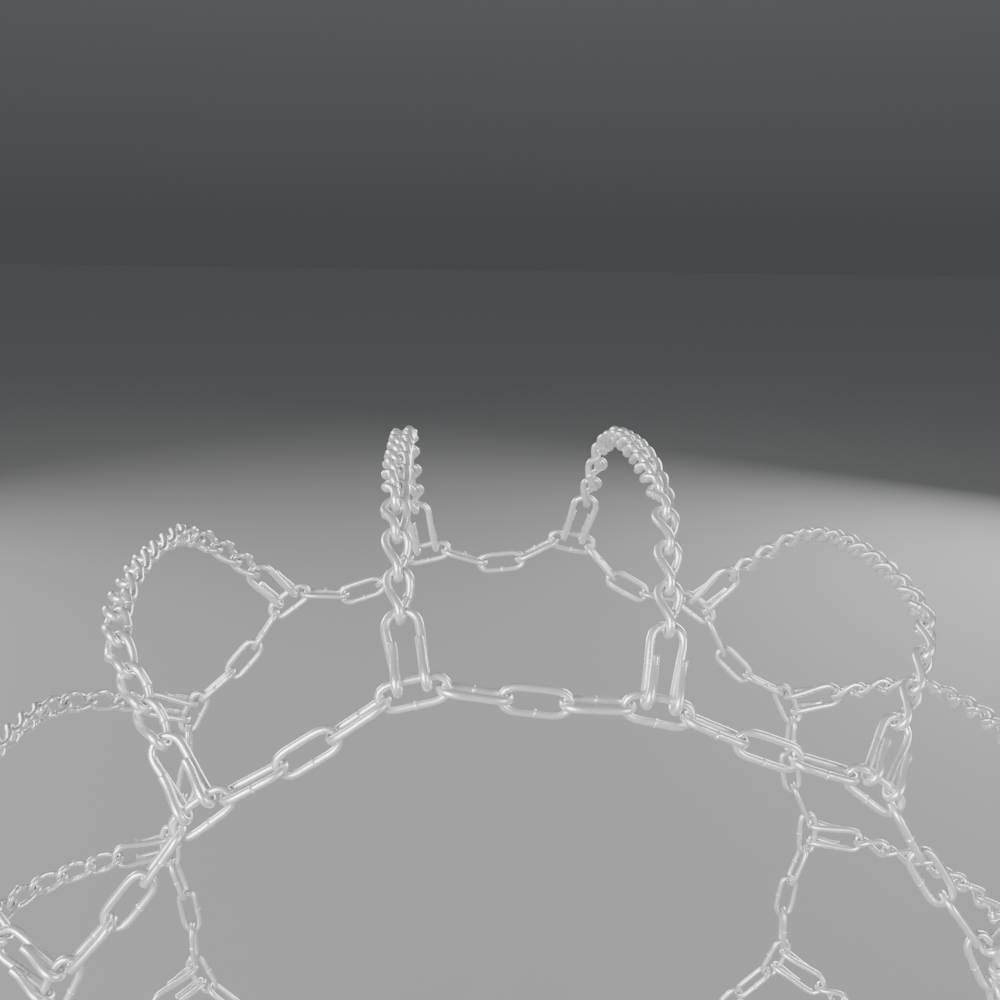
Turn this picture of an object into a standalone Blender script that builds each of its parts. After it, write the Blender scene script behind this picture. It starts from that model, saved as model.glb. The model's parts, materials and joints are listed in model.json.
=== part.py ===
"""Ladder-pattern snow chain for a car tyre, in the shape it takes when fitted.

Two side chains run round the tyre's walls, and fourteen cross chains of twisted
links lie over its tread between them. Each cross chain ends in two bent-wire
hooks, which hold the upper rail of a side-chain link. A cranked lever in a
clevis closes each side chain at the bottom.

Metres, +Z up. The origin is the wheel's centre, midway between the side chains,
the wheel's axle lies along Y, and the outer side of the wheel faces -Y.
Chain is drawn as one joined run a node: a link that lies in the run's surface
has its opening, and a link that stands on edge is a solid plate.
"""

import math

import bmesh
import bpy
from mathutils import Matrix, Vector

# The tyre's section, along which the cross chains lie
CREST_RADIUS = 0.4276
CROWN_RADIUS = 0.55
CROWN_HALF_LENGTH = 0.098
SHOULDER_RADIUS = 0.085
WALL_SLOPE = math.radians(51.9)
TRACK = 0.400

# Cross chains
CROSS_CHAINS = 14
CROSS_LINKS = 16
CROSS_PITCH = 0.026
CROSS_WIRE = 0.0052
CROSS_WIDTH = 0.0195
# How far each cross chain has slid outwards over the tread, in millimetres,
# clockwise from the fastener as seen from outside
SLIDE_MM = (0, 3, -2, 4, 0, 2, 13, 3.5, 10.5, 1, 5, -1, 3, 0)
# How far each one leans along the tread about the line between its hooks, in degrees
LEAN_DEG = (0, -3, 4, 0, -4, -2, 8, -7, 2, -2, 4, -3, 0, 3)

# Side chains: four links for each cross chain, one of which carries its hook
SIDE_PITCH = 0.035
SIDE_WIRE = 0.0046
SIDE_WIDTH = 0.020
RUN_LINKS = 3

# End hooks
HOOK_WIRE = 0.0048
HOOK_REACH = 0.0404
HOOK_WIDTH = 0.0240
HOOK_FOOT_SPACING = 0.0170
HOOK_BEND = 0.0064
HOOK_RETURN = 0.028
HOOK_CLOSE = 0.0060

# Fasteners
PIN_RADIUS = 0.003
CHEEK = 0.003
CLEVIS_GAP = 0.008
CLEVIS_HALF_HEIGHT = 0.004
LEVER_THICKNESS = 0.005
CLEVIS_EASE = 0.0014
GAP = 0.0003
ROUND_SIDES = 12


def clear_scene():
    for item in list(bpy.data.objects):
        bpy.data.objects.remove(item, do_unlink=True)


def steel(name, colour, roughness):
    """A bare or plated steel."""
    material = bpy.data.materials.new(name)
    material.use_nodes = True
    shader = material.node_tree.nodes["Principled BSDF"]
    shader.inputs["Base Color"].default_value = (*colour, 1.0)
    shader.inputs["Metallic"].default_value = 1.0
    shader.inputs["Roughness"].default_value = roughness
    return material


def add_mesh(name, bm, material, origin=Vector()):
    """Make a node from a bmesh in world coordinates, with its origin at a given point."""
    bmesh.ops.translate(bm, verts=bm.verts, vec=-origin)
    bmesh.ops.recalc_face_normals(bm, faces=bm.faces)
    mesh = bpy.data.meshes.new(name)
    bm.to_mesh(mesh)
    bm.free()
    mesh.materials.append(material)
    node = bpy.data.objects.new(name, mesh)
    node.location = origin
    bpy.context.collection.objects.link(node)
    return node


def drill(node, bm, material):
    """Cut a closed bmesh, in world coordinates, out of a node."""
    cutter = add_mesh(node.name + "_drill", bm, material)
    cutter.hide_render = True
    cutter.display_type = "WIRE"
    cut = node.modifiers.new("drill", "BOOLEAN")
    cut.operation = "DIFFERENCE"
    cut.solver = "EXACT"
    cut.object = cutter


# ---------------------------------------------------------------- positions

def section_point(s):
    """The point, as (y, radius), at arc length s from the tread's middle; outside is -s."""
    length = abs(s)
    crown = min(length, CROWN_HALF_LENGTH)
    crown_angle = crown / CROWN_RADIUS
    axial = CROWN_RADIUS * math.sin(crown_angle)
    drop = CROWN_RADIUS * (1 - math.cos(crown_angle))
    turn = min(max(length - CROWN_HALF_LENGTH, 0) / SHOULDER_RADIUS, WALL_SLOPE - crown_angle)
    axial += SHOULDER_RADIUS * (math.sin(crown_angle + turn) - math.sin(crown_angle))
    drop += SHOULDER_RADIUS * (math.cos(crown_angle) - math.cos(crown_angle + turn))
    wall = max(length - CROWN_HALF_LENGTH - SHOULDER_RADIUS * turn, 0)
    axial += wall * math.cos(WALL_SLOPE)
    drop += wall * math.sin(WALL_SLOPE)
    return math.copysign(axial, s), CREST_RADIUS - drop


def strand_points(slide):
    """A cross chain's hook bows and link contacts as (y, radius), from outside to inside."""
    half = CROSS_LINKS * CROSS_PITCH / 2
    return [section_point(slide - half + i * CROSS_PITCH) for i in range(CROSS_LINKS + 1)]


def carrier_radius(bow):
    """Radius of the middle of the side-chain link whose upper rail the hook holds."""
    inboard = TRACK / 2 - abs(bow[0])
    return bow[1] - math.sqrt(HOOK_REACH ** 2 - inboard ** 2) - (SIDE_WIDTH - SIDE_WIRE) / 2


def on_wheel(angle, radius, along=0.0, y=0.0):
    """A point at an angle from +Z towards +X, moved along the tangent there."""
    return Matrix.Rotation(angle, 3, "Y") @ Vector((along, y, radius))


def taut_angle(radius_a, radius_b):
    """The angle between two carrier links when the three links between them are straight."""
    low, high = 0.2, 0.8
    for _ in range(40):
        angle = (low + high) / 2
        start = on_wheel(0, radius_a, SIDE_PITCH / 2)
        end = on_wheel(angle, radius_b, -SIDE_PITCH / 2)
        if (end - start).length > RUN_LINKS * SIDE_PITCH:
            high = angle
        else:
            low = angle
    return low


def fitted_layout():
    """Each cross chain's angle, points and the two radii of its carrier links."""
    strands = [strand_points(slide / 1000) for slide in SLIDE_MM]
    outer = [carrier_radius(points[0]) for points in strands]
    inner = [carrier_radius(points[-1]) for points in strands]
    steps = []
    for k in range(CROSS_CHAINS):
        after = (k + 1) % CROSS_CHAINS
        steps.append(min(taut_angle(outer[k], outer[after]), taut_angle(inner[k], inner[after])))
    slack = 2 * math.pi / sum(steps)
    angles = [0.0]
    for step in steps[:-1]:
        angles.append(angles[-1] + step * slack)
    top = CROSS_CHAINS // 2
    middle = sum(angles[top - 2:top + 2]) / 4
    return [angle - middle for angle in angles], strands, outer, inner


def slack_run(start, end):
    """The two inner contacts of three links that hang between two points, bowed to the axle."""
    span = (end - start).length
    lean = math.acos(min((span - SIDE_PITCH) / (2 * SIDE_PITCH), 1))
    along = (end - start).normalized()
    middle = (start + end) / 2
    inward = -Vector((middle.x, 0, middle.z))
    inward = (inward - along * inward.dot(along)).normalized()
    step = along * math.cos(lean) * SIDE_PITCH + inward * math.sin(lean) * SIDE_PITCH
    return [start + step, start + step + along * SIDE_PITCH]


# ------------------------------------------------------------- joined chain

def ring_sides(bm, centre, wide, thin, width, wire, opened, wide_first):
    """One cross-section of a run as four rows of vertices, corner to corner.

    A section through a link's opening has four vertices on its two wide rows.
    """
    half, bar = width / 2, wire / 2
    columns = [half, half - wire, wire - half, -half] if opened else [half, -half]

    def row(offset, flip):
        placed = [centre + wide * c + thin * offset for c in columns]
        return [bm.verts.new(p) for p in (placed[::-1] if flip else placed)]

    upper, lower = row(bar, False), row(-bar, True)
    sides = [upper, [upper[-1], lower[0]], lower, [lower[-1], upper[0]]]
    return sides if wide_first else [sides[3], sides[0], sides[1], sides[2]]


def bridge(bm, sides_a, sides_b, opened):
    """Join two cross-sections of a run, leaving the opening free where there is one."""
    for row_a, row_b in zip(sides_a, sides_b):
        if opened and len(row_a) == 4:
            for i in (0, 2):
                bm.faces.new((row_a[i], row_a[i + 1], row_b[i + 1], row_b[i]))
        else:
            bm.faces.new([*row_a, *reversed(row_b)])
    if not opened:
        return
    upper_a, lower_a = [row for row in sides_a if len(row) == 4]
    upper_b, lower_b = [row for row in sides_b if len(row) == 4]
    bm.faces.new((upper_a[1], lower_a[2], lower_b[2], upper_b[1]))
    bm.faces.new((upper_a[2], lower_a[1], lower_b[1], upper_b[2]))
    for upper, lower in ((upper_a, lower_a), (upper_b, lower_b)):
        bm.faces.new((upper[1], upper[2], lower[1], lower[2]))


def cap(bm, sides):
    bm.faces.new([vert for row in sides for vert in row[:-1]])


def chain_run(points, kinds, surface_normals, wire, width, end_clearance):
    """A run of joined links between contact points.

    A flat link lies in the surface and an edge link stands on it; "open" links
    have their opening. Each end closes with a bar outside its contact point.
    """
    bm = bmesh.new()
    last = len(kinds) - 1
    previous = None
    for i, (posture, opened) in enumerate(kinds):
        along = (points[i + 1] - points[i]).normalized()
        normal = surface_normals[i]
        across = normal.cross(along).normalized()
        flat = posture == "flat"
        wide, thin = (across, normal) if flat else (normal, -across)

        def section(centre, with_opening):
            return ring_sides(bm, centre, wide, thin, width, wire, with_opening, flat)

        lead = -end_clearance if i == 0 else wire
        trail = -end_clearance if i == last else wire
        start = section(points[i] + along * lead, opened)
        end = section(points[i + 1] - along * trail, opened)
        if previous is None:
            tip = section(points[i] + along * (lead - wire), opened)
            cap(bm, tip)
            bridge(bm, tip, start, False)
        else:
            bridge(bm, previous, start, False)
        bridge(bm, start, end, opened)
        previous = end
        if i == last:
            tip = section(points[i + 1] - along * (trail - wire), opened)
            bridge(bm, end, tip, False)
            cap(bm, tip)
    bmesh.ops.triangulate(bm, faces=bm.faces)
    return bm


# ------------------------------------------------------------ cross chains

def cross_chain(index, angle, points, lean, material):
    """The twisted links of one cross chain; its origin is on the line between its hooks."""
    placed = [on_wheel(angle, radius, 0, y) for y, radius in points]
    pivot = (placed[0] + placed[-1]) / 2
    turn = Matrix.Rotation(lean, 3, placed[-1] - placed[0])
    placed = [pivot + turn @ (place - pivot) for place in placed]
    tangent = turn @ on_wheel(angle, 0, 1)
    kinds = []
    normals = []
    for i in range(CROSS_LINKS):
        from_end = min(i, CROSS_LINKS - 1 - i)
        kinds.append(("edge", from_end == 0) if from_end % 2 == 0 else ("flat", True))
        along = (placed[i + 1] - placed[i]).normalized()
        normals.append(tangent.cross(along))
    bm = chain_run(placed, kinds, normals, CROSS_WIRE, CROSS_WIDTH, CROSS_WIRE / 2 + GAP)
    add_mesh(f"cross_chain_{index:02d}", bm, material, pivot)


# ------------------------------------------------------------------- hooks

def end_hook(name, angle, bow, carrier, material):
    """One bent wire: a bow for the cross chain, and two feet round the carrier's rail."""
    side = math.copysign(1, bow[0])
    rail = Vector((0, side * TRACK / 2, carrier + (SIDE_WIDTH - SIDE_WIRE) / 2))
    reach = Vector((0, bow[0], bow[1])) - rail
    lean = math.asin(HOOK_BEND / reach.length)
    up = (Matrix.Rotation(-side * lean, 3, "X") @ reach).normalized()
    inboard = Vector((0, -side * up.z, side * up.y))
    leg = math.sqrt(reach.length ** 2 - HOOK_BEND ** 2)
    bow_half = (HOOK_WIDTH - HOOK_WIRE) / 2
    foot_half = HOOK_FOOT_SPACING / 2

    half_path = [
        (bow_half * 0.55, leg, 1.0),
        (bow_half, leg - bow_half * 0.6, 1.0),
        (foot_half, -HOOK_BEND * 0.5, 1.0),
        (foot_half, -HOOK_BEND, 0.45),
        (foot_half, -HOOK_BEND, -0.45),
        (foot_half, -HOOK_BEND * 0.5, -1.0),
        (foot_half, HOOK_RETURN, -1.0 + HOOK_CLOSE / HOOK_BEND),
    ]
    right = [Vector((x, 0, 0)) + up * s + inboard * HOOK_BEND * o for x, s, o in half_path]
    left = [Vector((-p.x, p.y, p.z)) for p in reversed(right)]
    turn = Matrix.Rotation(angle, 3, "Y")
    origin = turn @ rail

    curve = bpy.data.curves.new(name, "CURVE")
    curve.dimensions = "3D"
    curve.bevel_depth = HOOK_WIRE / 2
    curve.bevel_resolution = 0
    curve.resolution_u = 1
    curve.use_fill_caps = True
    spline = curve.splines.new("POLY")
    path = left + right
    spline.points.add(len(path) - 1)
    for point, place in zip(spline.points, path):
        point.co = (*(turn @ place), 1)
    curve.materials.append(material)
    node = bpy.data.objects.new(name, curve)
    node.location = origin
    bpy.context.collection.objects.link(node)


# ------------------------------------------------------------- side chains

def carrier_ends(side, angle, radius):
    y = side * TRACK / 2
    return [on_wheel(angle, radius, end * SIDE_PITCH / 2, y) for end in (-1, 1)]


def side_chain(name, side, angles, radii, material):
    """One side chain from the link the lever holds, round to the link the clevis holds."""
    fastener_start = carrier_ends(side, angles[-1], radii[-1])[1]
    first = carrier_ends(side, angles[0], radii[0])
    back = (fastener_start - first[0]).normalized()
    points = [first[0] + back * SIDE_PITCH, *first]
    kinds = [("edge", True), ("flat", True)]
    for angle, radius in zip(angles[1:], radii[1:]):
        start, end = carrier_ends(side, angle, radius)
        points += [*slack_run(points[-1], start), start, end]
        kinds += [("edge", False), ("flat", True), ("edge", False), ("flat", True)]
    normals = [Vector((0, side, 0))] * len(kinds)
    bm = chain_run(points, kinds, normals, SIDE_WIRE, SIDE_WIDTH, 0)
    add_mesh(name, bm, material)
    return fastener_start, points[0]


# --------------------------------------------------------------- fasteners

def prism(outline, thickness, frame):
    """A flat plate from an outline in a frame's X and Y, centred on its Z."""
    bm = bmesh.new()
    face = bm.faces.new([bm.verts.new((x, y, -thickness / 2)) for x, y in outline])
    grown = bmesh.ops.extrude_face_region(bm, geom=[face])
    lifted = [v for v in grown["geom"] if isinstance(v, bmesh.types.BMVert)]
    bmesh.ops.translate(bm, verts=lifted, vec=(0, 0, thickness))
    bmesh.ops.recalc_face_normals(bm, faces=bm.faces)
    bmesh.ops.transform(bm, verts=bm.verts, matrix=frame)
    return bm


def rod(radius, length, frame):
    """A cylinder along a frame's Z, centred on it."""
    bm = bmesh.new()
    bmesh.ops.create_cone(bm, cap_ends=True, segments=ROUND_SIDES, radius1=radius,
                          radius2=radius, depth=length, matrix=frame)
    return bm


def polar(radius, degrees):
    return radius * math.cos(math.radians(degrees)), radius * math.sin(math.radians(degrees))


def lever_outline(held):
    """Round the lever from its finger: the slot is concentric with the pin, so it turns free."""
    slot_in = held - SIDE_WIRE - 0.0008
    slot_out = held + 0.0004
    finger_out = slot_out + 0.0055
    eye = 0.0085
    outline = [polar(finger_out, a) for a in (-16, -2, 12, 26, 38)]
    outline += [polar(slot_in * 0.8, 60), polar(eye, 100), polar(eye, 140), polar(eye, 180)]
    outline += [(-0.030, -0.0125), (-0.070, -0.0215), (-0.0745, -0.0255), (-0.071, -0.0295),
                (-0.026, -0.0215)]
    outline += [polar(eye, -90), polar(eye * 1.1, -55), polar(slot_in - 0.004, -18)]
    outline += [polar(slot_in, a) for a in (-10, 2, 14, 22)]
    outline += [polar(slot_out, a) for a in (22, 10, -2, -14)]
    return outline


def fastener(prefix, side, start, end, material, lever_material):
    """Clevis, pin and lever between the last carrier link and the link that the lever holds."""
    along = (end - start).normalized()
    axis = Vector((0, side, 0))
    outward = Vector((start.x + end.x, 0, start.z + end.z))
    outward = (outward - along * outward.dot(along)).normalized()
    pivot = start + along * SIDE_PITCH
    held = (end - pivot).length

    inside = -CLEVIS_EASE
    back = inside - SIDE_WIRE
    cheek_in = CLEVIS_GAP / 2
    cheek_out = cheek_in + CHEEK
    tail = SIDE_PITCH + 2.3 * PIN_RADIUS
    outline = [(back, -cheek_out), (tail, -cheek_out), (tail, -cheek_in), (inside, -cheek_in),
               (inside, cheek_in), (tail, cheek_in), (tail, cheek_out), (back, cheek_out)]
    frame = Matrix((along, axis, along.cross(axis))).transposed().to_4x4()
    frame.translation = start
    clevis = add_mesh(prefix + "_clevis", prism(outline, 2 * CLEVIS_HALF_HEIGHT, frame), material)

    across = Matrix((along, axis.cross(along), axis)).transposed().to_4x4()
    across.translation = pivot
    reach = 2 * cheek_out + 2 * GAP
    drill(clevis, rod(PIN_RADIUS + GAP, 2 * reach, across), material)

    head = 0.0015
    profile = [(0, -reach / 2 - head), (1.5 * PIN_RADIUS, -reach / 2 - head),
               (1.5 * PIN_RADIUS, -reach / 2), (PIN_RADIUS, -reach / 2),
               (PIN_RADIUS, reach / 2), (1.5 * PIN_RADIUS, reach / 2),
               (1.5 * PIN_RADIUS, reach / 2 + head), (0, reach / 2 + head)]
    bm = bmesh.new()
    verts = [bm.verts.new((x, 0, z)) for x, z in profile]
    edges = [bm.edges.new(pair) for pair in zip(verts, verts[1:])]
    bmesh.ops.spin(bm, geom=verts + edges, axis=(0, 0, 1), cent=(0, 0, 0), angle=2 * math.pi,
                   steps=ROUND_SIDES, use_merge=True)
    bmesh.ops.remove_doubles(bm, verts=bm.verts, dist=1e-5)
    bmesh.ops.transform(bm, verts=bm.verts, matrix=across)
    add_mesh(prefix + "_clevis_pin", bm, material)

    turned = Matrix((along, outward, along.cross(outward))).transposed().to_4x4()
    turned.translation = pivot
    lever = add_mesh(prefix + "_lever", prism(lever_outline(held), LEVER_THICKNESS, turned),
                     lever_material, pivot)
    drill(lever, rod(PIN_RADIUS + GAP, 2 * LEVER_THICKNESS, across), lever_material)


def build():
    clear_scene()
    cross_steel = steel("cross_chain_zinc", (0.70, 0.71, 0.72), 0.30)
    side_steel = steel("side_chain_zinc", (0.66, 0.67, 0.69), 0.32)
    hook_steel = steel("hook_zinc", (0.72, 0.73, 0.74), 0.28)
    lever_steel = steel("fastener_zinc", (0.62, 0.63, 0.65), 0.35)

    angles, strands, outer, inner = fitted_layout()
    for k, (angle, points) in enumerate(zip(angles, strands), start=1):
        cross_chain(k, angle, points, math.radians(LEAN_DEG[k - 1]), cross_steel)
        end_hook(f"outer_hook_{k:02d}", angle, points[0], outer[k - 1], hook_steel)
        end_hook(f"inner_hook_{k:02d}", angle, points[-1], inner[k - 1], hook_steel)
    for prefix, side, radii in (("outer", -1, outer), ("inner", 1, inner)):
        start, end = side_chain(prefix + "_side_chain", side, angles, radii, side_steel)
        fastener(prefix, side, start, end, side_steel, lever_steel)


build()
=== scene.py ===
"""Looks for the ladder-pattern snow chain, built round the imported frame.

Metres. The wheel's centre is the origin, its axle lies along Y with the outer
side on -Y, and the chain stands as it does on a tyre.
"""

import json
import math
import random

import bmesh
import bpy
from mathutils import Matrix, Vector


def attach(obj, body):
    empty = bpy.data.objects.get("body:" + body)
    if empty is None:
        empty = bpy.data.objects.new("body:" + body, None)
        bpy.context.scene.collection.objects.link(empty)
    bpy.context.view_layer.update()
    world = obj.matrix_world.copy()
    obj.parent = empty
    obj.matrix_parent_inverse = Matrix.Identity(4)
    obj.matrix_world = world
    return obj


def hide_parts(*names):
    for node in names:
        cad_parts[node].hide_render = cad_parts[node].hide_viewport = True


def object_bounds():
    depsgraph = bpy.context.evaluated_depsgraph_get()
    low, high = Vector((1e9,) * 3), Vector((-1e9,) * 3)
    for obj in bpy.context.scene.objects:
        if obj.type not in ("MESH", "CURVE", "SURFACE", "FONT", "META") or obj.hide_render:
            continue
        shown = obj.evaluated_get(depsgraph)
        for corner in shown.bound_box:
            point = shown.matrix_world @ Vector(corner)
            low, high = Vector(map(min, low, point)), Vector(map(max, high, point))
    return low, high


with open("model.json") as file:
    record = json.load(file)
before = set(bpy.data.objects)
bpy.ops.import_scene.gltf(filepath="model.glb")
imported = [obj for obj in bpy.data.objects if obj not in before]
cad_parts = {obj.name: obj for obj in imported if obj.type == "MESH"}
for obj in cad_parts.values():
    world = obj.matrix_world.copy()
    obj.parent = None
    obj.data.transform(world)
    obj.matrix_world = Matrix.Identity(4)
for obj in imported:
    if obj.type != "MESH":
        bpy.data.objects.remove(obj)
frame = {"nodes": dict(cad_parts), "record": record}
cad_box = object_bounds()


# The room: a pale floor under the lowest cross chain, an overcast studio sky,
# and large soft lamps. The camera looks down on the top of the wheel from the
# outer side, as a person does who has just fitted the chain.

floor_drop = 0.004
floor_size = 60.0
bpy.ops.mesh.primitive_plane_add(size=floor_size, location=(0, 0, cad_box[0].z - floor_drop))
floor = bpy.context.object
floor.name = "floor"
floor_paint = bpy.data.materials.new("pale_floor")
floor_paint.use_nodes = True
floor_shader = floor_paint.node_tree.nodes["Principled BSDF"]
floor_shader.inputs["Base Color"].default_value = (0.34, 0.34, 0.34, 1)
floor_shader.inputs["Roughness"].default_value = 0.8
floor.data.materials.append(floor_paint)

sky = bpy.data.worlds.new("studio_sky")
sky.use_nodes = True
bpy.context.scene.world = sky
sky_nodes = sky.node_tree.nodes
sky_light = sky_nodes["Background"]
sky_light.inputs["Strength"].default_value = 0.42
sky_place = sky_nodes.new("ShaderNodeTexCoord")
sky_split = sky_nodes.new("ShaderNodeSeparateXYZ")
sky_ramp = sky_nodes.new("ShaderNodeValToRGB")
sky_ramp.color_ramp.elements[0].color = (0.165, 0.167, 0.172, 1)
sky_ramp.color_ramp.elements[1].color = (0.62, 0.63, 0.65, 1)
sky.node_tree.links.new(sky_place.outputs["Generated"], sky_split.inputs[0])
sky.node_tree.links.new(sky_split.outputs["Z"], sky_ramp.inputs[0])
sky.node_tree.links.new(sky_ramp.outputs[0], sky_light.inputs["Color"])

# name: place, size, power; each faces the wheel's centre
lamps = {
    "key_lamp": ((-2.0, -2.7, 1.0), 2.2, 200),
    "fill_lamp": ((2.6, -2.2, 0.8), 1.8, 70),
    "back_lamp": ((2.4, 2.8, 1.2), 1.8, 90),
    "rim_lamp": ((-2.7, 2.3, 1.2), 1.6, 70),
}
for lamp_name, (place, size, power) in lamps.items():
    light = bpy.data.lights.new(lamp_name, "AREA")
    light.size = size
    light.energy = power
    lamp = bpy.data.objects.new(lamp_name, light)
    lamp.location = place
    lamp.visible_camera = False
    lamp.rotation_euler = (-Vector(place)).to_track_quat("-Z", "Y").to_euler()
    bpy.context.collection.objects.link(lamp)

lens = bpy.data.cameras.new("camera")
lens.lens = 42.4
lens.sensor_width = 36
lens.clip_start = 0.05
camera = bpy.data.objects.new("camera", lens)
camera.location = (-0.0616, -0.8159, 0.5676)
camera.rotation_euler = (1.34595, -0.01446, -0.05773)
bpy.context.collection.objects.link(camera)
bpy.context.scene.camera = camera


# Zinc plate over steel wire. Shader maths is written as expressions: a Tone is
# one socket, and an operator on it adds the Math node that it stands for.

class Tone:
    """A socket in a material, with arithmetic; add makes any other node from it."""

    def __init__(self, tree, socket):
        self.tree = tree
        self.socket = socket

    def add(self, kind, settings=(), inputs=(), output=0):
        node = self.tree.nodes.new(kind)
        for key, value in dict(settings).items():
            setattr(node, key, value)
        for key, value in dict(inputs).items():
            if isinstance(value, Tone):
                self.tree.links.new(value.socket, node.inputs[key])
            else:
                node.inputs[key].default_value = value
        return Tone(self.tree, node.outputs[output])

    def _math(self, operation, first, second):
        return self.add("ShaderNodeMath", {"operation": operation}, {0: first, 1: second})

    def __add__(self, other):
        return self._math("ADD", self, other)

    def __mul__(self, other):
        return self._math("MULTIPLY", self, other)

    def __sub__(self, other):
        return self._math("SUBTRACT", self, other)

    def __rsub__(self, other):
        return self._math("SUBTRACT", other, self)

    def blend(self, low, high):
        """A colour between two others, by this value."""
        return self.add("ShaderNodeMix", {"data_type": "RGBA"}, {0: self, 6: low, 7: high}, 2)

    __radd__ = __add__
    __rmul__ = __mul__


weld_scale = (0.33, 0.31, 0.29, 1)
rubbed_steel = (0.93, 0.93, 0.94, 1)


def zinc(name, bright, dull, polish):
    """Plated steel: spangle in slow patches, drawing marks, grime at welds and rubbed bows."""
    material = bpy.data.materials.new(name)
    material.use_nodes = True
    tree = material.node_tree
    shader = tree.nodes["Principled BSDF"]
    shader.inputs["Metallic"].default_value = 0.7
    shader.inputs["Specular IOR Level"].default_value = 0.6
    # Each piece carries its own tint, its welds and its rubbed bows as attributes
    start = Tone(tree, None)
    place = start.add("ShaderNodeTexCoord", output=3)
    patch = start.add("ShaderNodeTexNoise", inputs={"Vector": place, "Scale": 90.0, "Detail": 3.0})
    grain = start.add("ShaderNodeTexNoise", inputs={"Vector": place, "Scale": 900.0, "Detail": 4.0,
                                                    "Roughness": 0.65})
    spangle = start.add("ShaderNodeTexVoronoi", inputs={"Vector": place, "Scale": 420.0}, output=0)
    tint = start.add("ShaderNodeAttribute", {"attribute_name": "tint"}, output=2)
    weld = start.add("ShaderNodeAttribute", {"attribute_name": "weld"}, output=2)
    rub = start.add("ShaderNodeAttribute", {"attribute_name": "rub"}, output=2)

    wear = patch.add("ShaderNodeMapRange", inputs={0: patch, 1: 0.35, 2: 0.68})
    shade = wear * 0.62 + tint * 0.38
    colour = shade.blend(bright, dull)
    weld_grain = weld * grain
    scale = weld_grain.add("ShaderNodeMapRange", inputs={0: weld_grain, 1: 0.25, 2: 0.62, 4: 0.72})
    colour = scale.blend(colour, weld_scale)
    colour = (rub * 0.35).blend(colour, rubbed_steel)
    tree.links.new(colour.socket, shader.inputs["Base Color"])
    rough = polish + wear * 0.10 + grain * 0.12 + weld * 0.16 - rub * 0.08
    tree.links.new(rough.socket, shader.inputs["Roughness"])
    relief = grain * 0.55 + spangle * 0.35 + patch * 0.9 + weld_grain * 1.6
    bump = relief.add("ShaderNodeBump", inputs={"Strength": 0.35, "Distance": 0.00025,
                                                "Height": relief})
    tree.links.new(bump.socket, shader.inputs["Normal"])
    return material


# Round wire. Every link and hook starts as straight wire that is bent on a
# former; here a ring of a few corners is extruded from frame to frame along the
# bend, and one level of subdivision makes it round.

wire_corners = 6
# Subdivision draws a coarse ring and a coarse bend in to about these shares
ring_draw = 0.872
bend_draw = 0.93
# Free play of a bow beyond its contact point
play = 0.0002
# Points closer than this are one point
same_point = 1e-5
# Share by which a bend is stouter, and share of the radius that a cut end's face is inset by
bend_stout = 0.05
end_inset = 0.30


def wire_frames(stations):
    """Frames along a wire: each station is a point, a sideways direction and a girth."""
    frames = []
    count = len(stations)
    closed = (stations[0][0] - stations[-1][0]).length < same_point
    for i, (point, sideways, _) in enumerate(stations):
        before = stations[i - 1][0] if i else stations[-2][0] if closed else point
        after = stations[i + 1][0] if i < count - 1 else stations[1][0] if closed else point
        along = (after - before).normalized()
        across = sideways.cross(along).normalized()
        frames.append(Matrix((across, along.cross(across), along)).transposed().to_4x4())
        frames[-1].translation = point
    return frames, closed


def bend_wire(bm, stations, radius, layers):
    """Extrude round wire along its stations; a wire that meets itself is left without ends."""
    frames, closed = wire_frames(stations)
    girths = [station[2] for station in stations]
    first = bmesh.ops.create_circle(bm, segments=wire_corners, radius=radius / ring_draw,
                                    matrix=frames[0] @ Matrix.Scale(girths[0], 4))
    rings = [first["verts"]]
    edges = bm.edges[:]
    for i in range(1, len(frames)):
        grown = bmesh.ops.extrude_edge_only(bm, edges=edges)["geom"]
        ring = [item for item in grown if isinstance(item, bmesh.types.BMVert)]
        edges = [item for item in grown if isinstance(item, bmesh.types.BMEdge)
                 and all(vert in ring for vert in item.verts)]
        move = frames[i] @ Matrix.Scale(girths[i] / girths[i - 1], 4) @ frames[i - 1].inverted()
        bmesh.ops.transform(bm, matrix=move, verts=ring)
        rings.append(ring)
    for i, ring in enumerate(rings):
        for vert in ring:
            for layer, values in layers.items():
                vert[layer] = values[i]
    if closed:
        bmesh.ops.remove_doubles(bm, verts=rings[0] + rings[-1], dist=same_point)
    else:
        bmesh.ops.holes_fill(bm, edges=[edge for edge in bm.edges if edge.is_boundary])
        ends = [face for face in bm.faces if len(face.verts) == wire_corners]
        bmesh.ops.inset_individual(bm, faces=ends, thickness=radius * end_inset)
    bmesh.ops.recalc_face_normals(bm, faces=bm.faces)


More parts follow.
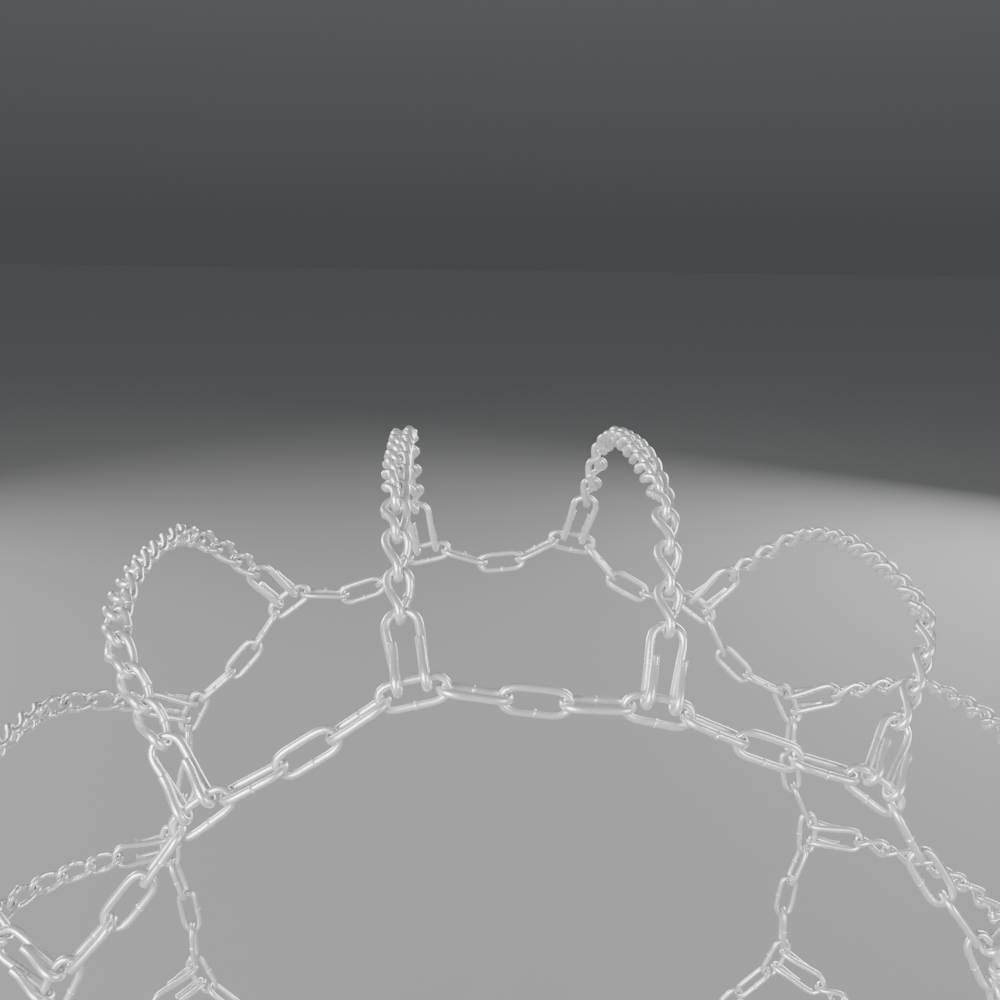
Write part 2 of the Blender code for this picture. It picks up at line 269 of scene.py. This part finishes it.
def link_template(name, wire, pitch, width, twist, flash, weld_side):
    """One welded link between its contact points, from the origin along +X, wide in Y.

    The bow at the origin is turned back by the twist. The weld is in the middle
    of the leg on its side, +1 for +Y or -1 for -Y, and is stouter by the flash.
    """
    wrap = (width - wire) / 2
    centre_in = wrap - wire / 2 - play
    span = pitch - 2 * centre_in
    flash_half = wire * 0.13
    # place along the leg, side, whether it is on a bow, whether it is the weld
    welded_leg = [span * 0.16, span / 2 - 3 * flash_half, span / 2 - flash_half, span / 2,
                  span / 2 + flash_half, span / 2 + 3 * flash_half, span * 0.84]
    outline = [(x, 1.0, 0.0, 1.0 if x == span / 2 else 0.0) for x in welded_leg]
    for degrees in (90, 45, 0, -45, -90):
        swing = math.radians(degrees)
        bow = wrap if abs(degrees) == 90 else wrap / bend_draw
        outline.append((span + bow * math.cos(swing), math.sin(swing) * bow / wrap, 1.0, 0.0))
    outline += [(span * share, -1.0, 0.0, 0.0) for share in (0.7, 0.3)]
    for degrees in (-90, -135, -180, -225, -270):
        swing = math.radians(degrees)
        bow = wrap if degrees in (-90, -270) else wrap / bend_draw
        outline.append((bow * math.cos(swing), math.sin(swing) * bow / wrap, 1.0, 0.0))
    outline.append(outline[0])

    stations = []
    for x, side, bow, weld in outline:
        turn = Matrix.Rotation(twist * (min(max(x / span, 0), 1) - 1), 3, "X")
        lift = weld * flash * wire * 0.3
        point = Vector((x + centre_in, 0, 0)) + turn @ Vector((0, weld_side * side * wrap, lift))
        girth = 1 + flash * weld + bend_stout * bow
        stations.append((point, turn @ Vector((0, 0, 1)), girth))

    bm = bmesh.new()
    weld_layer = bm.verts.layers.float.new("weld")
    rub_layer = bm.verts.layers.float.new("rub")
    bm.verts.layers.float.new("tint")
    layers = {weld_layer: [row[3] for row in outline],
              rub_layer: [row[2] * max(0, 1 - 1.6 * abs(row[1])) for row in outline]}
    bend_wire(bm, stations, wire / 2, layers)
    mesh = bpy.data.meshes.new(name)
    bm.to_mesh(mesh)
    bm.free()
    return mesh


def place_link(bm, template, pitch, start, end, wide, shade):
    """Copy a link in midway between two contact points, its far bow wide in a given direction."""
    begun = len(bm.verts)
    bm.from_mesh(template)
    bm.verts.ensure_lookup_table()
    fresh = bm.verts[begun:]
    along = (end - start).normalized()
    across = (wide - along * wide.dot(along)).normalized()
    seat = Matrix((along, across, along.cross(across))).transposed().to_4x4()
    seat.translation = (start + end) / 2 - along * pitch / 2
    bmesh.ops.transform(bm, matrix=seat, verts=fresh)
    tint = bm.verts.layers.float["tint"]
    for vert in fresh:
        vert[tint] = shade


def chain_bmesh():
    bm = bmesh.new()
    for layer in ("weld", "rub", "tint"):
        bm.verts.layers.float.new(layer)
    return bm


def show(name, bm, material, body, node, finish="round"):
    """Make the piece and let it ride on its body in place of its CAD node.

    Wire is rounded off; plate keeps its flat faces between eased edges.
    """
    mesh = bpy.data.meshes.new(name)
    bm.to_mesh(mesh)
    bm.free()
    mesh.materials.append(material)
    mesh.shade_smooth()
    piece = bpy.data.objects.new(name, mesh)
    bpy.context.collection.objects.link(piece)
    if finish == "round":
        rounding = piece.modifiers.new("round", "SUBSURF")
        rounding.levels = 1
        rounding.render_levels = 1
    else:
        piece.modifiers.new("flat_faces", "WEIGHTED_NORMAL")
    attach(piece, body)
    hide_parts(node)


# Cross chains: case-hardened twisted links, each welded in one leg and then
# turned a quarter, so that they lie on the tread without rolling. They run from
# hook to hook over the tyre's walls, shoulders and crown.

cross_chains = 14
cross_links = 16
cross_pitch = 0.026
cross_wire = 0.0056
cross_width = 0.0195
track = 0.400
crest_radius = 0.4276
crown_radius = 0.55
crown_half_length = 0.098
shoulder_radius = 0.085
wall_slope = math.radians(51.9)
# How far each chain has slid towards the inner side, how far it leans about the line between
# its hooks, and how far a link in it can be rolled out of line
slide_mm = (0, 3, -2, 4, 0, 2, 13, 3.5, 10.5, 1, 5, -1, 3, 0)
lean_degrees = (0, -3, 4, 0, -4, -2, 8, -7, 2, -2, 4, -3, 0, 3)
loose_roll_degrees = 5
cross_steel = zinc("cross_chain_zinc", (0.95, 0.95, 0.95, 1), (0.78, 0.79, 0.82, 1), 0.21)
shades = random.Random(14)


def section_point(s):
    """The point, as (y, radius), at arc length s from the tread's middle; outside is -s."""
    length = abs(s)
    crown = min(length, crown_half_length)
    crown_angle = crown / crown_radius
    axial = crown_radius * math.sin(crown_angle)
    drop = crown_radius * (1 - math.cos(crown_angle))
    turn = min(max(length - crown_half_length, 0) / shoulder_radius, wall_slope - crown_angle)
    axial += shoulder_radius * (math.sin(crown_angle + turn) - math.sin(crown_angle))
    drop += shoulder_radius * (math.cos(crown_angle) - math.cos(crown_angle + turn))
    wall = max(length - crown_half_length - shoulder_radius * turn, 0)
    axial += wall * math.cos(wall_slope)
    drop += wall * math.sin(wall_slope)
    return math.copysign(axial, s), crest_radius - drop


def strand_points(slide):
    half = cross_links * cross_pitch / 2
    return [section_point(slide - half + i * cross_pitch) for i in range(cross_links + 1)]


def on_wheel(angle, radius, along=0.0, y=0.0):
    """A point at an angle from +Z towards +X, moved along the tangent there."""
    return Matrix.Rotation(angle, 3, "Y") @ Vector((along, y, radius))


# Each joint's anchor is midway between the chain's two hooks, at its angle round the wheel
joints = {joint["name"]: joint for joint in frame["record"]["behaviour"]["joints"]}
strands = [strand_points(slide / 1000) for slide in slide_mm]
wheel_angles = []
for k in range(cross_chains):
    anchor = joints[f"cross_chain_{k + 1:02d}_shift"]["pos_m"]
    wheel_angles.append(math.atan2(anchor[0], anchor[2]))

quarter_turn = math.radians(-90)
cross_flash = 0.34
twisted_links = [link_template(f"twisted_link_{name}", cross_wire, cross_pitch, cross_width,
                               quarter_turn, cross_flash, side)
                 for name, side in (("a", 1), ("b", -1))]


def strand_roll(i):
    """How far link i has rolled: face up the wall, flat over the tread, then on to the far hook."""
    wall_links = 3
    ease = 2.5
    far = cross_links - 1 - wall_links - ease
    steps = min(max((i - wall_links) / ease, 0), 1) + min(max((i - far) / ease, 0), 1)
    return math.radians(-45 * steps)


for k, (angle, points, lean) in enumerate(zip(wheel_angles, strands, lean_degrees), start=1):
    placed = [on_wheel(angle, radius, 0, y) for y, radius in points]
    pivot = (placed[0] + placed[-1]) / 2
    turn = Matrix.Rotation(math.radians(lean), 3, placed[-1] - placed[0])
    placed = [pivot + turn @ (place - pivot) for place in placed]
    tangent = turn @ on_wheel(angle, 0, 1)
    bm = chain_bmesh()
    for i in range(cross_links):
        along = (placed[i + 1] - placed[i]).normalized()
        loose = 0
        if 0 < i < cross_links - 1:
            loose = math.radians(shades.uniform(-loose_roll_degrees, loose_roll_degrees))
        wide = Matrix.Rotation(strand_roll(i) + loose, 3, along) @ tangent
        place_link(bm, shades.choice(twisted_links), cross_pitch, placed[i], placed[i + 1], wide,
                   shades.random())
    node = f"cross_chain_{k:02d}"
    show(node + "_links", bm, cross_steel, node, node)


# Hooks: one length of round wire bent to a bow for the cross chain's end link.
# Both legs pass behind the side-chain link's upper rail, turn under it, and are
# closed up on the outside by hand, so no pair of tails lies quite alike.

side_wire = 0.0050
side_width = 0.020
side_pitch = 0.035
hook_wire = 0.0058
hook_width = 0.0250
hook_reach = 0.0404
foot_spacing = 0.0170
foot_bend = 0.0060
tail_length = 0.0235
tail_girth = 0.93
# Each pair of tails is closed up to these places, give or take a little
left_tail_in = 0.0070
right_tail_in = 0.0094
left_tail_gap = 0.0008
right_tail_gap = 0.0006
tail_spread = 0.0006
# From the middle of a carrier link to the middle of its rail, as in the frame
carrier_rail = 0.0077
hook_steel = zinc("hook_zinc", (0.96, 0.96, 0.95, 1), (0.82, 0.82, 0.83, 1), 0.20)
bends = random.Random(28)


def carrier_radius(bow):
    """Radius of the middle of the side-chain link that the hook holds."""
    inboard = track / 2 - abs(bow[0])
    return bow[1] - math.sqrt(hook_reach ** 2 - inboard ** 2) - carrier_rail


def hook_half(side, leg, tail_in, tail_gap):
    """One leg from the bow down and round the rail, as (sideways, along, inboard)."""
    bow_half = (hook_width - hook_wire) / 2
    foot = foot_spacing / 2
    path = []
    for degrees in (32, 62, 88):
        swing = math.radians(degrees)
        path.append((bow_half / bend_draw * math.sin(swing),
                     leg - bow_half + bow_half / bend_draw * math.cos(swing), foot_bend))
    path += [(bow_half * 0.97, leg * 0.52, foot_bend), (foot, leg * 0.2, foot_bend)]
    for degrees in (0, 45, 90, 135, 180):
        swing = math.radians(degrees)
        bend = foot_bend if degrees in (0, 180) else foot_bend / bend_draw
        path.append((foot + (tail_in - foot) * degrees / 180 * 0.35,
                     -bend * math.sin(swing), bend * math.cos(swing)))
    for share in (0.35, 0.72, 0.965, 1.0):
        close = min(share / 0.72, 1)
        path.append((foot + (tail_in - foot) * (0.35 + 0.65 * close), tail_length * share,
                     -foot_bend + (foot_bend - tail_gap) * close))
    return [Vector((x * side, s, t)) for x, s, t in path]


for k, (angle, points) in enumerate(zip(wheel_angles, strands), start=1):
    for wall_side, label, bow in ((-1, "outer", points[0]), (1, "inner", points[-1])):
        rail = Vector((0, wall_side * track / 2, carrier_radius(bow) + (side_width - side_wire) / 2))
        reach = Vector((0, bow[0], bow[1])) - rail
        lean = math.asin(foot_bend / reach.length)
        up = (Matrix.Rotation(-wall_side * lean, 3, "X") @ reach).normalized()
        inboard = Vector((0, -wall_side * up.z, wall_side * up.y))
        # The end link's inner face is at the reach's end, and the bow lies just beyond it
        leg = math.sqrt(reach.length ** 2 - foot_bend ** 2) + hook_wire / 2
        nudge = bends.uniform(-tail_spread, tail_spread)
        left = hook_half(-1, leg, left_tail_in + nudge, left_tail_gap)
        right = hook_half(1, leg, right_tail_in + nudge, right_tail_gap)
        apex = [Vector((0, leg - (hook_width - hook_wire) / 2 * (1 - 1 / bend_draw), foot_bend))]
        route = list(reversed(left)) + apex + right
        turn = Matrix.Rotation(angle, 3, "Y")
        places = [turn @ (rail + Vector((x, 0, 0)) + up * s + inboard * t) for x, s, t in route]
        # The wire's sideways direction turns as little as it can along the bend
        sideways = turn @ inboard
        stations = []
        for j, place in enumerate(places):
            along = places[min(j + 1, len(places) - 1)] - places[max(j - 1, 0)]
            along.normalize()
            sideways = (sideways - along * sideways.dot(along)).normalized()
            is_tail = j in (0, len(places) - 1)
            stations.append((place, sideways, tail_girth if is_tail else 1.0))
        bm = chain_bmesh()
        rub_layer = bm.verts.layers.float["rub"]
        worn = [0.8 if abs(j - len(route) // 2) < 2 else 0.0 for j in range(len(route))]
        bend_wire(bm, stations, hook_wire / 2, {rub_layer: worn})
        tint = bm.verts.layers.float["tint"]
        shade = bends.random()
        for vert in bm.verts:
            vert[tint] = shade
        node = f"{label}_hook_{k:02d}"
        show(node + "_wire", bm, hook_steel, "side_chains", node)


# Side chains: long straight links of round wire, welded in the middle of one
# side. Every fourth link carries a hook; the chain runs on from it alternately
# on edge and flat, and slack draws the middle of each run towards the axle.

bow_inset = side_width / 2 - side_wire
side_flash = 0.36
side_steel = zinc("side_chain_zinc", (0.94, 0.94, 0.95, 1), (0.76, 0.77, 0.80, 1), 0.23)
straight_links = [link_template(f"straight_link_{name}", side_wire, side_pitch, side_width, 0.0,
                                side_flash, side)
                  for name, side in (("a", 1), ("b", -1))]


def slack_run(start, end):
    """The two inner contacts of three links that hang between two points."""
    span = (end - start).length
    lean = math.acos(min((span - side_pitch) / (2 * side_pitch), 1))
    along = (end - start).normalized()
    middle = (start + end) / 2
    inward = -Vector((middle.x, 0, middle.z))
    inward = (inward - along * inward.dot(along)).normalized()
    step = along * math.cos(lean) * side_pitch + inward * math.sin(lean) * side_pitch
    return [start + step, start + step + along * side_pitch]


def carrier_ends(side, angle, radius):
    y = side * track / 2
    return [on_wheel(angle, radius, end * side_pitch / 2, y) for end in (-1, 1)]


for side, label, end_bow in ((-1, "outer", 0), (1, "inner", -1)):
    radii = [carrier_radius(points[end_bow]) for points in strands]
    fastener_start = carrier_ends(side, wheel_angles[-1], radii[-1])[1]
    first = carrier_ends(side, wheel_angles[0], radii[0])
    back = (fastener_start - first[0]).normalized()
    contacts = [first[0] + back * side_pitch, *first]
    postures = ["edge", "flat"]
    for angle, radius in zip(wheel_angles[1:], radii[1:]):
        ends = carrier_ends(side, angle, radius)
        contacts += [*slack_run(contacts[-1], ends[0]), *ends]
        postures += ["edge", "flat", "edge", "flat"]

    axle = Vector((0, side, 0))
    bm = chain_bmesh()
    runs = [(b - a).normalized() for a, b in zip(contacts, contacts[1:])]
    for i, posture in enumerate(postures):
        start, end = contacts[i], contacts[i + 1]
        if posture == "edge":
            # A link on edge rolls round inside its flat neighbours' bows, about their centres
            start = start - runs[i - 1] * bow_inset if i else start
            end = end + runs[i + 1] * bow_inset
            pull = (end - start).normalized()
            start = start + pull * bow_inset if i else start
            end = end - pull * bow_inset
        middle = (start + end) / 2
        inward = -Vector((middle.x, 0, middle.z)).normalized()
        wide = inward if posture == "flat" else axle
        loose = math.radians(shades.uniform(-loose_roll_degrees, loose_roll_degrees))
        wide = Matrix.Rotation(loose, 3, end - start) @ wide
        # A flat link's weld is on its lower rail; one on edge may have it either way
        template = straight_links[0 if posture == "flat" else shades.randrange(2)]
        place_link(bm, template, side_pitch, start, end, wide, shades.random())
    node = label + "_side_chain"
    show(node + "_links", bm, side_steel, "side_chains", node)


# Fasteners: a pressed clevis on the last link, a turned pin through its cheeks,
# and a cranked lever blanked from thick plate. The lever's finger holds the
# chain's first link, and its arm folds back beside the chain.

plate_steel = zinc("fastener_zinc", (0.84, 0.84, 0.83, 1), (0.62, 0.63, 0.65, 1), 0.24)
sharp_from = math.radians(40)
flat_within = math.radians(1)
# Edges shorter than this are merged after a bevel
sliver = 1e-6
plate_ease = 0.0007
# Once the bar is rounded, this bevel is clamped to almost nothing, and the cheeks stay square
cheek_ease = 0.0003
bar_ease = 0.0016
# The pin's holes are cut with short facets, and keep their edges
hole_facet = 0.0020
pin_shank = 0.0030
pin_head = 0.0046
pin_head_height = 0.0015
pin_grip = 0.0146
pin_sides = 28


def ease_edges(bm, ease, wanted=lambda edge: True):
    """Round the sharp edges over, as tumbling and plating do."""
    sharp = [edge for edge in bm.edges if edge.calc_face_angle(0) > sharp_from and wanted(edge)]
    bmesh.ops.bevel(bm, geom=sharp, offset=ease, segments=3, profile=0.5, affect="EDGES",
                    clamp_overlap=True)
    bmesh.ops.dissolve_degenerate(bm, dist=sliver, edges=bm.edges)
    bmesh.ops.recalc_face_normals(bm, faces=bm.faces)
    tint = bm.verts.layers.float["tint"]
    for vert in bm.verts:
        vert[tint] = 0.5


def in_bar(edge, hinge):
    """Whether an edge runs along the axle at the far end of the clevis from its pin."""
    first, last = (vert.co for vert in edge.verts)
    crosswise = abs((last - first).normalized().y) > 0.99
    return crosswise and (first - Vector(hinge["pos_m"])).length > side_pitch * 0.8


def plate(node, body, hinge):
    """A pressed or blanked piece on its node's outline, with its edges eased."""
    bm = chain_bmesh()
    bm.from_mesh(frame["nodes"][node].data)
    bmesh.ops.remove_doubles(bm, verts=bm.verts, dist=same_point)
    bmesh.ops.dissolve_limit(bm, angle_limit=flat_within, verts=bm.verts, edges=bm.edges)
    if body == "side_chains":
        # The clevis's bar is rounded to lie in the bow of the link that it passes through
        ease_edges(bm, bar_ease, lambda edge: in_bar(edge, hinge))
        ease_edges(bm, cheek_ease, lambda edge: edge.calc_length() > hole_facet)
    else:
        ease_edges(bm, plate_ease, lambda edge: edge.calc_length() > hole_facet)
    show(node + "_plate", bm, plate_steel, body, node, "flat")


for label in ("outer", "inner"):
    hinge = joints[label + "_lever_hinge"]
    plate(label + "_clevis", "side_chains", hinge)
    plate(label + "_lever", label + "_lever", hinge)

    # A shank with a head at one end, riveted over to a second head at the other
    seat = Vector(hinge["axis"]).to_track_quat("Z", "X").to_matrix().to_4x4()
    seat.translation = hinge["pos_m"]
    bm = chain_bmesh()
    bmesh.ops.create_cone(bm, cap_ends=True, segments=pin_sides, radius1=pin_shank,
                          radius2=pin_shank, depth=pin_grip, matrix=seat)
    for end in (-1, 1):
        head = seat @ Matrix.Translation((0, 0, end * (pin_grip + pin_head_height) / 2))
        bmesh.ops.create_cone(bm, cap_ends=True, segments=pin_sides, radius1=pin_head,
                              radius2=pin_head, depth=pin_head_height, matrix=head)
    ease_edges(bm, pin_head_height / 3)
    node = label + "_clevis_pin"
    show(node + "_rivet", bm, plate_steel, "side_chains", node, "flat")
